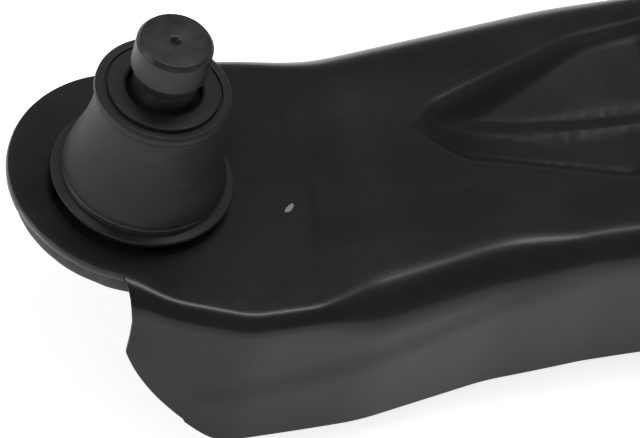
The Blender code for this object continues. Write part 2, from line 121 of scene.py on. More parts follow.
# ------------------------------------------------------------------ finishes
class NodeDesk:
    """A small builder for one material's node tree."""

    def __init__(self, name: str) -> None:
        """Start a material.

        Args:
            name: The material's name.
        """
        self.material = bpy.data.materials.new(name)
        self.material.use_nodes = True
        self.tree = self.material.node_tree
        self.shader = self.tree.nodes["Principled BSDF"]
        self.coords = self.tree.nodes.new("ShaderNodeTexCoord")

    def link(self, start: Socket, end: Socket) -> None:
        """Join two sockets."""
        self.tree.links.new(start, end)

    def mapped(self, scale: Sequence[float]) -> Socket:
        """Return object coordinates stretched by a scale.

        Args:
            scale: The stretch along X, Y and Z.

        Returns:
            The mapped vector socket.
        """
        node = self.tree.nodes.new("ShaderNodeMapping")
        node.inputs["Scale"].default_value = scale
        self.link(self.coords.outputs["Object"], node.inputs["Vector"])
        return node.outputs["Vector"]

    def noise(
        self,
        scale: float,
        detail: float = 3.0,
        rough: float = 0.5,
        stretch: Sequence[float] = (1.0, 1.0, 1.0),
        distort: float = 0.0,
    ) -> Socket:
        """Return a noise value on object coordinates.

        Args:
            scale: The noise's scale per metre.
            detail: Its octaves.
            rough: Its roughness between octaves.
            stretch: A stretch of the coordinates.
            distort: Its distortion.

        Returns:
            The factor socket.
        """
        node = self.tree.nodes.new("ShaderNodeTexNoise")
        node.inputs["Scale"].default_value = scale
        node.inputs["Detail"].default_value = detail
        node.inputs["Roughness"].default_value = rough
        node.inputs["Distortion"].default_value = distort
        self.link(self.mapped(stretch), node.inputs["Vector"])
        return node.outputs["Fac"]

    def attribute(self, name: str) -> Socket:
        """Return the value of one of the piece's own attributes."""
        node = self.tree.nodes.new("ShaderNodeAttribute")
        node.attribute_name = name
        return node.outputs["Fac"]

    def remap(
        self,
        value: Socket,
        low: float,
        high: float,
        to_low: float = 0.0,
        to_high: float = 1.0,
    ) -> Socket:
        """Return a value moved from one range to another, clamped.

        Args:
            value: The value to move.
            low: The start of its range.
            high: The end of its range.
            to_low: What the start becomes.
            to_high: What the end becomes.

        Returns:
            The remapped socket.
        """
        node = self.tree.nodes.new("ShaderNodeMapRange")
        node.inputs["From Min"].default_value = low
        node.inputs["From Max"].default_value = high
        node.inputs["To Min"].default_value = to_low
        node.inputs["To Max"].default_value = to_high
        self.link(value, node.inputs["Value"])
        return node.outputs["Result"]

    def combine(
        self,
        kind: str,
        first: Socket,
        second: Socket | float,
    ) -> Socket:
        """Return one Math node's result.

        Args:
            kind: The Math node's operation.
            first: Its first value.
            second: Its second value, a socket or a number.

        Returns:
            The result socket.
        """
        node = self.tree.nodes.new("ShaderNodeMath")
        node.operation = kind
        self.link(first, node.inputs[0])
        if isinstance(second, (int, float)):
            node.inputs[1].default_value = second
        else:
            self.link(second, node.inputs[1])
        return node.outputs[0]

    def blend_colour(
        self,
        factor: Socket,
        first: Sequence[float] | Socket,
        second: Sequence[float] | Socket,
    ) -> Socket:
        """Return a colour between two colours.

        Args:
            factor: Where between them.
            first: The colour at 0.
            second: The colour at 1.

        Returns:
            The colour socket.
        """
        node = self.tree.nodes.new("ShaderNodeMix")
        node.data_type = "RGBA"
        self.link(factor, node.inputs["Factor"])
        for socket, colour in ((node.inputs[6], first), (node.inputs[7], second)):
            if isinstance(colour, Socket):
                self.link(colour, socket)
            else:
                socket.default_value = (*colour, 1.0)
        return node.outputs[2]

    def bump(self, *layers: tuple[Socket, float, float]) -> None:
        """Stack bump layers on the shader's normal.

        Args:
            layers: Each a height, its strength and its depth in metres.
        """
        normal = None
        for height, strength, distance in layers:
            node = self.tree.nodes.new("ShaderNodeBump")
            node.inputs["Strength"].default_value = strength
            node.inputs["Distance"].default_value = distance
            self.link(height, node.inputs["Height"])
            if normal is not None:
                self.link(normal, node.inputs["Normal"])
            normal = node.outputs["Normal"]
        if normal is not None:
            self.link(normal, self.shader.inputs["Normal"])

    def paint(self, inputs: dict[str, Socket | float | Sequence[float]]) -> None:
        """Set the named shader inputs, each from a socket or a plain value."""
        for name, value in inputs.items():
            if isinstance(value, Socket):
                self.link(value, self.shader.inputs[name])
            else:
                self.shader.inputs[name].default_value = value


@dataclass(frozen=True)
class DipCoat:
    """Black dip coating over pressed steel, worn to grey at the torn notch and lightened by a
    faint painted highlight along its other sheared edges.
    """

    name: str = "dip_coat"
    dark: Colour = (0.0085, 0.0086, 0.0092)
    light: Colour = (0.0150, 0.0150, 0.0158)
    worn_and_rim_highlight: Colour = (0.16, 0.16, 0.165)
    rough_low: float = 0.24
    rough_high: float = 0.33
    peel: float = 0.08
    sheared: bool = False

    def material(self) -> Material:
        """Return the finished material."""
        desk = NodeDesk(self.name)
        cloud = desk.noise(26.0, 5.0, 0.6)
        fine = desk.noise(900.0, 2.0, 0.5)
        tone = desk.blend_colour(desk.remap(cloud, 0.35, 0.7), self.dark, self.light)
        specks = desk.remap(desk.noise(1500.0, 1.0, 0.4), 0.80, 0.84)
        patches = desk.remap(desk.noise(55.0, 2.0, 0.5), 0.5, 0.68)
        dust = desk.combine("MULTIPLY", specks, patches)
        tone = desk.blend_colour(dust, tone, (0.12, 0.12, 0.12))
        rough = desk.remap(cloud, 0.3, 0.75, self.rough_low, self.rough_high)
        # On sheared sheet the edge mark blends in grey: real wear at the torn notch, and a
        # faint painted highlight along the other rims, which carry a lower mark.
        if self.sheared:
            edge = desk.attribute("edge")
            torn = desk.noise(420.0, 4.0, 0.65, (1.0, 1.0, 0.35))
            narrow = desk.remap(edge, 0.40, 0.95)
            share = desk.combine("MULTIPLY", narrow, desk.remap(torn, 0.44, 0.60))
            share = desk.combine("MULTIPLY", share, desk.remap(cloud, 0.45, 0.62, 0.15))
            tone = desk.blend_colour(share, tone, self.worn_and_rim_highlight)
            scrub = desk.remap(edge, 0.2, 1.0, 0.0, 0.25)
            rough = desk.combine("ADD", rough, scrub)
        desk.paint({"Base Color": tone, "Roughness": rough, "Specular IOR Level": 0.21})
        desk.paint({"Coat Weight": 0.10, "Coat Roughness": 0.14})
        waves = desk.noise(160.0, 3.0, 0.5)
        desk.bump((waves, self.peel, 0.0004), (fine, 0.05, 0.0002))
        return desk.material


@dataclass(frozen=True)
class ShearedEdge:
    """The rough grey broken edge of a blanked plate."""

    name: str = "sheared_edge"
    dark: Colour = (0.016, 0.016, 0.017)
    light: Colour = (0.085, 0.085, 0.088)

    def material(self) -> Material:
        """Return the finished material."""
        desk = NodeDesk(self.name)
        drag = desk.noise(700.0, 4.0, 0.6, (1.0, 1.0, 0.25))
        blotch = desk.noise(90.0, 3.0, 0.6)
        share = desk.combine("MULTIPLY", drag, blotch)
        tone = desk.blend_colour(desk.remap(share, 0.16, 0.42), self.dark, self.light)
        rough = desk.remap(drag, 0.3, 0.7, 0.5, 0.8)
        desk.paint({"Base Color": tone, "Roughness": rough, "Metallic": 0.25})
        desk.bump((drag, 0.5, 0.0006))
        return desk.material


@dataclass(frozen=True)
class MouldedRubber:
    """Satin black moulded rubber with faint flow marks and dust."""

    name: str
    dark: Colour = (0.014, 0.014, 0.0152)
    light: Colour = (0.024, 0.024, 0.0257)
    smeared: Colour = (0.075, 0.075, 0.078)
    rough: float = 0.56

    def material(self) -> Material:
        """Return the finished material."""
        desk = NodeDesk(self.name)
        flow = desk.noise(34.0, 4.0, 0.6, (1.0, 1.0, 2.4), 0.6)
        grain = desk.noise(1600.0, 2.0, 0.5)
        tone = desk.blend_colour(desk.remap(flow, 0.3, 0.72), self.dark, self.light)
        smear = desk.remap(desk.noise(70.0, 5.0, 0.7, (1.0, 1.0, 0.6)), 0.60, 0.78)
        faint = desk.combine("MULTIPLY", smear, 0.35)
        tone = desk.blend_colour(faint, tone, self.smeared)
        rough = desk.remap(flow, 0.3, 0.7, self.rough - 0.05, self.rough + 0.08)
        desk.paint({"Base Color": tone, "Roughness": rough, "Specular IOR Level": 0.20})
        desk.paint({"Coat Weight": 0.12, "Coat Roughness": 0.26})
        desk.bump((grain, 0.08, 0.0002), (flow, 0.08, 0.0006))
        return desk.material


@dataclass(frozen=True)
class TurnedSteel:
    """Steel with fine turning lines round an axis."""

    name: str
    dark: Colour
    light: Colour
    rough_low: float = 0.30
    rough_high: float = 0.50
    metallic: float = 0.9
    stretch: Point3 = (1.0, 1.0, 26.0)

    def material(self) -> Material:
        """Return the finished material."""
        desk = NodeDesk(self.name)
        lines = desk.noise(120.0, 3.0, 0.6, self.stretch)
        blotch = desk.noise(150.0, 5.0, 0.65)
        share = desk.combine("ADD", desk.combine("MULTIPLY", lines, 0.45), blotch)
        tone = desk.blend_colour(desk.remap(share, 0.5, 0.95), self.dark, self.light)
        rough = desk.remap(blotch, 0.3, 0.7, self.rough_low, self.rough_high)
        desk.paint({"Base Color": tone, "Roughness": rough, "Metallic": self.metallic})
        desk.bump((lines, 0.10, 0.0002), (desk.noise(1300.0, 2.0), 0.10, 0.0002))
        return desk.material


@dataclass(frozen=True)
class MouldedPlastic:
    """Plain moulded bearing plastic."""

    name: str
    colour: Colour

    def material(self) -> Material:
        """Return the finished material."""
        desk = NodeDesk(self.name)
        cloud = desk.noise(60.0, 3.0)
        dim = tuple(part * 0.86 for part in self.colour)
        tone = desk.blend_colour(desk.remap(cloud, 0.3, 0.7), dim, self.colour)
        rough = desk.remap(cloud, 0.3, 0.7, 0.38, 0.5)
        desk.paint({"Base Color": tone, "Roughness": rough, "Subsurface Weight": 0.05})
        desk.bump((desk.noise(1200.0), 0.06, 0.0002))
        return desk.material


@dataclass(frozen=True)
class PaleFloor:
    """A plain white floor that throws its own soft light back up."""

    name: str = "pale_floor"
    glow: float = 0.78

    def material(self) -> Material:
        """Return the finished material."""
        desk = NodeDesk(self.name)
        desk.paint({"Base Color": (0.86, 0.86, 0.86, 1.0), "Roughness": 0.9})
        desk.paint({"Emission Color": (1.0, 1.0, 1.0, 1.0)})
        desk.paint({"Emission Strength": self.glow})
        return desk.material


Finish = DipCoat | ShearedEdge | MouldedRubber | TurnedSteel | MouldedPlastic


def made(finish: Finish) -> Material:
    """Return a shelf entry that makes a finish once."""
    return field(default_factory=finish.material)


@dataclass
class FinishShelf:
    """All the finishes, each made once."""

    coat: Material = made(DipCoat())
    sheet: Material = made(DipCoat("dip_coat_sheet", sheared=True))
    weld: Material = made(
        DipCoat("dip_coat_weld", rough_low=0.38, rough_high=0.55, peel=0.3)
    )
    plate_edge: Material = made(ShearedEdge())
    boot: Material = made(MouldedRubber("boot_rubber_finish"))
    bush: Material = made(
        MouldedRubber(
            "bush_rubber_finish", (0.012, 0.012, 0.012), (0.022, 0.022, 0.022), rough=0.62
        )
    )
    stud: Material = made(
        TurnedSteel(
            "stud_steel_finish", (0.011, 0.011, 0.011), (0.036, 0.036, 0.037), 0.36, 0.52, 0.45
        )
    )
    housing: Material = made(
        DipCoat("dip_coat_housing", rough_low=0.34, rough_high=0.46)
    )
    ring: Material = made(
        TurnedSteel("ring_steel_finish", (0.03, 0.03, 0.03), (0.09, 0.09, 0.09), 0.35, 0.5)
    )
    zinc: Material = made(
        TurnedSteel("zinc_finish", (0.42, 0.42, 0.43), (0.62, 0.62, 0.64), 0.26, 0.40, 1.0)
    )
    spring: Material = made(
        TurnedSteel("spring_finish", (0.2, 0.2, 0.21), (0.36, 0.36, 0.37), 0.3, 0.42, 1.0)
    )
    seat: Material = made(MouldedPlastic("seat_plastic_finish", (0.72, 0.70, 0.64)))
    chip: Material = made(MouldedPlastic("bare_chip_finish", (0.32, 0.32, 0.32)))


# --------------------------------------------------------------- mesh helpers
def finish_piece(
    bm: Mesh,
    name: str,
    material: Material,
    sharp_deg: float = 34.0,
    recalc: bool = True,
    second: Material | None = None,
) -> Piece:
    """Turn a bmesh into a smooth shaded object at the origin.

    Args:
        bm: The mesh, which is freed.
        name: The object's name.
        material: Its finish.
        sharp_deg: Edges sharper than this stay crisp.
        recalc: Whether the faces are turned outwards first.
        second: The finish of faces marked with material index 1.

    Returns:
        The object.
    """
    if recalc:
        bmesh.ops.recalc_face_normals(bm, faces=bm.faces)
    mesh = bpy.data.meshes.new(name)
    bm.to_mesh(mesh)
    bm.free()
    mesh.shade_smooth()
    mesh.set_sharp_from_angle(angle=math.radians(sharp_deg))
    mesh.materials.append(material)
    if second is not None:
        mesh.materials.append(second)
    piece = bpy.data.objects.new(name, mesh)
    bpy.context.scene.collection.objects.link(piece)
    return piece


def round_corner(
    before: Point2, corner: Point2, after: Point2, radius: float, count: int, most: float
) -> Profile:
    """Round one corner of a line.

    Args:
        before: The point before the corner.
        corner: The corner.
        after: The point after it.
        radius: The rounding's radius.
        count: How many steps the rounding has.
        most: The largest share of either side that the rounding may take.

    Returns:
        The points that stand for the corner.
    """
    here = Vector(corner)
    back, ahead = Vector(before) - here, Vector(after) - here
    half = back.angle(ahead) / 2.0
    reach = min(radius / math.tan(half), most * back.length, most * ahead.length)
    start = here + back.normalized() * reach
    end = here + ahead.normalized() * reach
    result = []
    for step in range(count + 1):
        share = step / count
        point = start.lerp(here, share).lerp(here.lerp(end, share), share)
        result.append((point.x, point.y))
    return result


def rounded(corners: Sequence[Point3], count: int = 4) -> Profile:
    """Round the corners of a section.

    Args:
        corners: Each corner as (radius, height, rounding), in millimetres.
        count: How many steps each rounding has.

    Returns:
        The rounded section as (radius, height).
    """
    spots = [corner[:2] for corner in corners]
    result: Profile = []
    for index, spot in enumerate(spots):
        rounding = corners[index][2]
        if rounding > 0.0:
            after = spots[(index + 1) % len(spots)]
            result += round_corner(spots[index - 1], spot, after, rounding, count, 0.49)
        else:
            result.append(spot)
    return result


def turned(
    profile: Profile,
    centre: Sequence[float] = (0.0, 0.0, 0.0),
    axis: BushAxis = BushAxis.UPRIGHT,
    steps: int = 96,
    closed: bool = True,
) -> Mesh:
    """Spin a section about its axis.

    Args:
        profile: Points of (radius, height) in millimetres.
        centre: The place of the section's origin, in millimetres.
        axis: Upright, or across the arm.
        steps: How many segments the turn has.
        closed: Whether the section's last point joins its first.

    Returns:
        The turned mesh, in place.
    """
    bm = bmesh.new()
    loop = [bm.verts.new((r * MM, 0.0, z * MM)) for r, z in profile]
    edges = [bm.edges.new(pair) for pair in zip(loop, loop[1:])]
    if closed:
        edges.append(bm.edges.new((loop[-1], loop[0])))
    bmesh.ops.spin(
        bm,
        geom=loop + edges,
        cent=(0.0, 0.0, 0.0),
        axis=(0.0, 0.0, 1.0),
        angle=math.tau,
        steps=steps,
        use_merge=True,
    )
    bmesh.ops.remove_doubles(bm, verts=bm.verts, dist=0.000004)
    if axis is BushAxis.ACROSS:
        for vert in bm.verts:
            x, y, z = vert.co
            vert.co = (x, z, -y)
    bmesh.ops.translate(bm, verts=bm.verts, vec=[value * MM for value in centre])
    return bm


def place(
    piece: Piece, body: Body, slot: str, *nodes: str
) -> Piece:
    """Make a piece ride on a body and stand for CAD nodes.

    Args:
        piece: The finished piece.
        body: The body it moves with.
        slot: The record's material slot; not used.
        nodes: The nodes it stands for.

    Returns:
        The piece.
    """
    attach(piece, body.value)
    if nodes:
        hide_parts(*nodes)
    LOG.info("%s on %s, %d faces", piece.name, body.value, len(piece.data.polygons))
    return piece


def turn_piece(
    name: str,
    profile: Profile,
    material: Material,
    slot: str,
    node: str,
    body: Body = Body.ARM,
    steps: int = 96,
    closed: bool = True,
    sharp_deg: float = 34.0,
) -> Piece:
    """Turn a section about the stud's axis and place it.

    Args:
        name: The piece's name.
        profile: Points of (radius, height) in millimetres.
        material: Its finish.
        slot: The record's material slot; passed on to place, which does not use it.
        node: The node it stands for.
        body: The body it moves with.
        steps: How many segments the turn has.
        closed: Whether the section's last point joins its first.
        sharp_deg: Edges sharper than this stay crisp.

    Returns:
        The piece.
    """
    bm = turned(profile, steps=steps, closed=closed)
    return place(finish_piece(bm, name, material, sharp_deg), body, slot, node)


def bend(
    piece: Piece,
    slot: str,
    nodes: Sequence[str],
    bodies: tuple[Body, Body],
    heights: Point2,
) -> Piece:
    """Hide the CAD nodes a soft piece stands for and bake its transform into its mesh.

    Args:
        piece: The finished piece.
        slot: The record's material slot; not used.
        nodes: The nodes it stands for.
        bodies: The body it starts on and the one it ends on; not used.
        heights: Where the turn starts and ends, in metres; not used.

    Returns:
        The piece.
    """
    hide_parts(*nodes)
    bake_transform(piece)
    return piece


def ease(value: np.ndarray | float) -> np.ndarray | float:
    """Return a smooth step from 0 to 1."""
    value = np.clip(value, 0.0, 1.0)
    return value * value * (3.0 - 2.0 * value)


def smooth_ramp(value: np.ndarray, blend: float) -> np.ndarray:
    """Return a ramp that is zero below 0 and rises with slope 1 above it.

    Args:
        value: The values.
        blend: Half the width over which the corner is rounded.

    Returns:
        The ramp.
    """
    middle = (value + blend) ** 2 / (4.0 * blend)
    return np.where(value <= -blend, 0.0, np.where(value >= blend, value, middle))


def smooth_lower(first: np.ndarray, second: np.ndarray, blend: float) -> np.ndarray:
    """Return the lower of two surfaces with their meeting line rounded."""
    return second - smooth_ramp(second - first, blend)


# ------------------------------------------------------------------ the sheet
@dataclass
class ClosedLine:
    """A closed flat line with rounded corners, in millimetres."""

    points: np.ndarray

    @staticmethod
    def filleted(
        corners: Sequence[Point3],
        before: Point2 | None = None,
        after: Point2 | None = None,
        count: int = 14,
    ) -> np.ndarray:
        """Return a line through corners, each rounded by its own radius.

        Args:
            corners: Each corner as (x, y, radius).
            before: The point before the first corner, or None to close.
            after: The point after the last corner, or None to close.
            count: How many steps each rounding has.

        Returns:
            The points.
        """
        spots = [corner[:2] for corner in corners]
        chain = [before or spots[-1], *spots, after or spots[0]]
        result = []
        for prior, (x, y, radius), following in zip(chain, corners, chain[2:]):
            result += round_corner(prior, (x, y), following, radius, count, 0.48)
        return np.array(result)

    @staticmethod
    def resampled(points: np.ndarray, spacing: float) -> "ClosedLine":
        """Return the closed line with evenly spaced points."""
        loop = np.vstack([points, points[:1]])
        steps = np.hypot(*np.diff(loop, axis=0).T)
        along = np.concatenate([[0.0], np.cumsum(steps)])
        count = int(round(along[-1] / spacing))
        marks = np.linspace(0.0, along[-1], count, endpoint=False)
        xs = np.interp(marks, along, loop[:, 0])
        ys = np.interp(marks, along, loop[:, 1])
        return ClosedLine(np.column_stack([xs, ys]))

    def normals(self) -> np.ndarray:
        """Return outward unit normals of an anticlockwise line."""
        ahead = np.roll(self.points, -1, axis=0) - np.roll(self.points, 1, axis=0)
        ahead /= np.hypot(*ahead.T)[:, None]
        return np.column_stack([ahead[:, 1], -ahead[:, 0]])

    def inside_distance(self, spots: np.ndarray) -> np.ndarray:
        """Return each spot's distance to the line, positive inside."""
        start = self.points
        end = np.roll(start, -1, axis=0)
        side = end - start
        length2 = (side**2).sum(axis=1)
        result = np.empty(len(spots))
        for low in range(0, len(spots), 2000):
            part = spots[low : low + 2000]
            gap = part[:, None, :] - start[None, :, :]
            share = np.clip((gap * side).sum(axis=2) / length2, 0.0, 1.0)
            near = gap - share[:, :, None] * side
            dist = np.sqrt((near**2).sum(axis=2)).min(axis=1)
            x, y = part[:, 0, None], part[:, 1, None]
            crossing = (start[:, 1] > y) != (end[:, 1] > y)
            slope = side[:, 0] / np.where(side[:, 1] == 0.0, 1e-9, side[:, 1])
            hit = crossing & (x < start[:, 0] + (y - start[:, 1]) * slope)
            odd = hit.sum(axis=1) % 2 == 1
            result[low : low + 2000] = np.where(odd, dist, -dist)
        return result


@dataclass
class PressedArm:
    """The arm's upper sheet: flat lobe, bent walls and the scooped pocket."""

    depth: float = 43.3
    draft: float = math.tan(math.radians(2.0))
    notch_depth: float = 18.8
    notch_x: float = -15.4
    notch_run: float = 4.0
    nominal_bend: float = 8.0
    ledge: float = 3.8
    crest_slope: float = 0.46
    wall_slope: float = 0.75
    floor_least: float = 2.0
    floor_gain: float = 7.5
    floor_tilt: float = 0.42
    bank_slope: float = 0.38
    lobe_centre: Point2 = (1.4, 2.7)
    lobe_radius: float = 34.1
    lobe_from: float = 78.0
    lobe_to: float = 243.0
    spacing: float = 2.0
    coarse: float = 4.0
    fine: float = 1.6
    finest: float = 0.8
    front_eye_radius: float = 24.3
    front_trim_x: float = 304.0
    rear_eye_radius: float = 31.3
    rear_trim_y: float = 176.0
    corners: tuple[Point3, ...] = (
        (-6.0, -43.0, 20.0),
        (10.0, -51.5, 24.0),
        (46.0, -54.5, 60.0),
        (84.0, -51.0, 80.0),
        (112.0, -51.8, 60.0),
        (180.0, -58.0, 120.0),
        (258.0, -83.0, 60.0),
        (336.0, -83.0, 14.0),
        (336.0, -37.0, 14.0),
        (254.0, -22.0, 30.0),
        (250.0, 50.0, 60.0),
        (293.0, 150.0, 60.0),
        (293.0, 216.0, 14.0),
        (243.0, 216.0, 14.0),
        (240.0, 150.0, 60.0),
        (222.0, 96.0, 60.0),
        (186.0, 33.0, 34.0),
        (132.0, 36.0, 200.0),
        (56.0, 33.6, 120.0),
    )
    pocket_corners: tuple[Point3, ...] = (
        (75.5, 0.5, 5.0),
        (86.0, -14.0, 14.0),
        (128.0, -31.5, 40.0),
        (196.0, -41.0, 40.0),
        (238.0, -44.0, 16.0),
        (229.0, 28.0, 40.0),
        (236.0, 80.0, 14.0),
        (190.0, 23.0, 50.0),
        (132.0, 20.5, 50.0),
        (86.0, 8.2, 12.0),
    )
    line: ClosedLine = field(init=False)
    pocket: ClosedLine = field(init=False)

    def __post_init__(self) -> None:
        """Lay out the wall line and the pocket's rim."""
        reach = self.lobe_radius + self.nominal_bend
        angles = np.radians(np.linspace(self.lobe_from, self.lobe_to, 60))
        arc = reach * np.column_stack([np.cos(angles), np.sin(angles)])
        arc = self.lobe_centre + arc
        rest = ClosedLine.filleted(self.corners, tuple(arc[-1]), tuple(arc[0]))
        dense = ClosedLine.resampled(np.vstack([rest, arc]), self.spacing / 3.0)
        x, y = dense.points.T
        notch = (x > -26.0) & (x < 12.0) & (y < -20.0)
        keep = notch | (np.arange(len(x)) % 3 == 0)
        self.line = ClosedLine(dense.points[keep])
        rim = ClosedLine.filleted(self.pocket_corners)
        self.pocket = ClosedLine.resampled(rim, self.spacing)

    def wall_depth(self, x: float, y: float) -> float:
        """Return how far the wall hangs down at a point of the line."""
        if y < 0.0:
            if x < self.notch_x - self.notch_run:
                return 0.0
            if x < self.notch_x:
                rise = (x - self.notch_x + self.notch_run) / self.notch_run
                return self.notch_depth * rise**3
            share = 1.0 - min(1.0, (x - self.notch_x) / 24.0)
            gain = 1.0 - 0.85 * share**1.4 - 0.15 * share**8
            return self.notch_depth + (self.depth - self.notch_depth) * gain
        return self.depth * ease((x - 16.0) / 30.0)

    def bend_radius(self, x: float, y: float) -> float:
        """Return the outside bend radius at a point of the line."""
        if y < 0.0 and x < 180.0:
            swell = ease((x - 26.0) / 24.0)
            swell *= 1.0 - 0.42 * ease((x - 86.0) / 22.0)
            tight = 5.2 - 1.1 * ease((x - 140.0) / 30.0)
            tight += 2.8 * (1.0 - ease((x + 20.0) / 12.0))
            return tight + 6.8 * swell
        if 40.0 < x < 200.0:
            return 8.0 + 4.0 * ease((x - 40.0) / 25.0)
        return self.nominal_bend

    def dish_depth(self, x: np.ndarray, y: np.ndarray) -> np.ndarray:
        """Return the depth of the shallow dish beyond the lobe."""
        edge = 42.2 - 0.012 * np.clip(-y - 4.0, 0.0, None) ** 2
        edge = edge + 0.022 * np.clip(y - 3.0, 0.0, None) ** 2
        fade = ease((24.0 - y) / 22.0) * ease((y + 33.0) / 12.0)
        step = 0.50 * ease((x - edge) / 2.6) + 0.5 * ease((x - edge - 1.0) / 18.0)
        return step * fade * (1.0 - ease((x - 74.0) / 40.0))

    def floor_depth(self, x: np.ndarray, y: np.ndarray) -> np.ndarray:
        """Return the depth of the pocket's floor, folded along its crease."""
        crease = -8.5 + 10.5 * np.exp(-(x - 86.0) / 32.0)
        deeper = 1.0 - np.exp(-np.clip(x - 84.0, 0.0, None) / 20.0)
        floor = self.floor_least + self.floor_gain * deeper
        floor = floor + self.floor_tilt * smooth_ramp(crease - y, 0.8)
        bank = smooth_ramp(y - crease - 4.0, 0.8) * (1.0 - ease((x - 150.0) / 40.0))
        floor = floor - self.bank_slope * bank - self.floor_least
        return self.floor_least + smooth_ramp(floor, 0.4)

    def heights(self, spots: np.ndarray) -> np.ndarray:
        """Return the top surface's height against the flat at each spot.

        Args:
            spots: Plan positions in millimetres.

        Returns:
            Heights in millimetres, zero on the flat and negative in hollows.
        """
        x, y = spots.T
        inner = self.pocket.inside_distance(spots)
        crest = smooth_ramp(inner - 0.4, 0.9) * self.crest_slope
        wall = crest + smooth_ramp(inner - self.ledge, 0.9) * self.wall_slope
        return -self.dish_depth(x, y) - smooth_lower(wall, self.floor_depth(x, y), 1.2)

    def plan_points(self, crease: np.ndarray, inner: bool) -> np.ndarray:
        """Return the inner points of the top surface, denser where it curves.

        Args:
            crease: The line where the bends begin.
            inner: Whether this is the hidden skin, which needs fewer points.

        Returns:
            Plan positions in millimetres.
        """
        low, high = crease.min(axis=0), crease.max(axis=0)
        boundary = ClosedLine(crease)
        steps = (self.coarse, 2.6) if inner else (self.coarse, self.fine, self.finest)
        result = []
        for level, step in enumerate(steps):
            rows = np.arange(low[1], high[1], step * 0.866)
            spots = []
            for index, y in enumerate(rows):
                xs = np.arange(low[0] + (index % 2) * step / 2.0, high[0], step)
                spots.append(np.column_stack([xs, np.full(len(xs), y)]))
            spots = np.vstack(spots)
            need = self.detail(spots, len(steps) - 1)
            spots = spots[need == level]
            spots = spots[boundary.inside_distance(spots) > step * 0.55]
            radius = np.hypot(spots[:, 0], spots[:, 1])
            result.append(spots[radius > JOINT_HOLE + step * 0.5])
        return np.vstack(result)

    def detail(self, spots: np.ndarray, highest: int) -> np.ndarray:
        """Return how finely the surface has to be laid out at each spot."""
        x, y = spots[:, 0], spots[:, 1]
        rim = self.pocket.inside_distance(spots)
        broad = (rim > -3.0) & (rim < 17.0)
        broad |= (x > 34.0) & (x < 90.0) & (y > -36.0) & (y < 24.0)
        fold = -7.5 + 13.5 * np.exp(-(x - 90.0) / 30.0)
        narrow = (rim > -1.2) & (rim < 13.0) & (x < 160.0)
        narrow |= (rim > 3.0) & (np.abs(y - fold) < 2.2) & (x < 200.0)
        narrow |= (x > 34.0) & (x < 47.0) & (y > -30.0) & (y < 20.0)
        level = np.where(narrow, 2, np.where(broad, 1, 0))
        return np.minimum(level, highest)

    def wall_section(self, radius: float, inner: bool) -> np.ndarray:
        """Return the section through bend and wall.

        Args:
            radius: The outside bend radius.
            inner: Whether this is the hidden skin.

        Returns:
            Rows of outward offset and depth.
        """
        skin = SHEET if inner else 0.0
        bend = radius - skin
        last = math.atan(1.0 / self.draft)
        angles = np.linspace(0.0, last, 11)
        offset = bend * np.sin(angles) - radius
        drop = radius - bend * np.cos(angles)
        rest = np.linspace(0.0, 1.0, 14)[1:]
        more = (self.depth - drop[-1]) * rest
        offset = np.concatenate([offset, offset[-1] + more * self.draft])
        drop = np.concatenate([drop, drop[-1] + more])
        return np.column_stack([offset, drop])

    def ring_rows(self, inner: bool) -> np.ndarray:
        """Return the bend and wall as rings of points round the line.

        Args:
            inner: Whether this is the hidden skin.

        Returns:
            An array of rings by points by three, in millimetres.
        """
        normals = self.line.normals()
        columns = []
        for (x, y), normal in zip(self.line.points, normals):
            section = self.wall_section(self.bend_radius(x, y), inner)
            limit = self.wall_depth(x, y)
            drops = np.clip(section[:, 1], section[0, 1], max(limit, section[0, 1]))
            offsets = np.interp(drops, section[:, 1], section[:, 0])
            crease = 0.55 * ease((drops - (25.0 - 0.17 * x)) / 5.0)
            if y < 0.0 and 0.0 <= x < 130.0:
                offsets = offsets + crease * ease((130.0 - x) / 40.0)
            plan = np.array([x, y]) + offsets[:, None] * normal
            if y < 0.0 and x < self.notch_x + 8.0:
                pull = 1.0 - ease((x - self.notch_x) / 8.0)
                share = np.clip(drops / self.notch_depth, 0.0, 1.0)
                plan[:, 0] += 1.2 * pull * np.sin(math.pi * share)
            columns.append(np.column_stack([plan, TOP_Z - drops]))
        return np.array(columns).transpose(1, 0, 2)

    def top_normals(self, spots: np.ndarray) -> np.ndarray:
        """Return the top surface's unit normals at each spot."""
        step = 0.3
        right = self.heights(spots + (step, 0.0))
        left = self.heights(spots - (step, 0.0))
        up = self.heights(spots + (0.0, step))
        down = self.heights(spots - (0.0, step))
        slope_x = (right - left) / (2.0 * step)
        slope_y = (up - down) / (2.0 * step)
        normals = np.column_stack([-slope_x, -slope_y, np.ones(len(spots))])
        return normals / np.linalg.norm(normals, axis=1)[:, None]

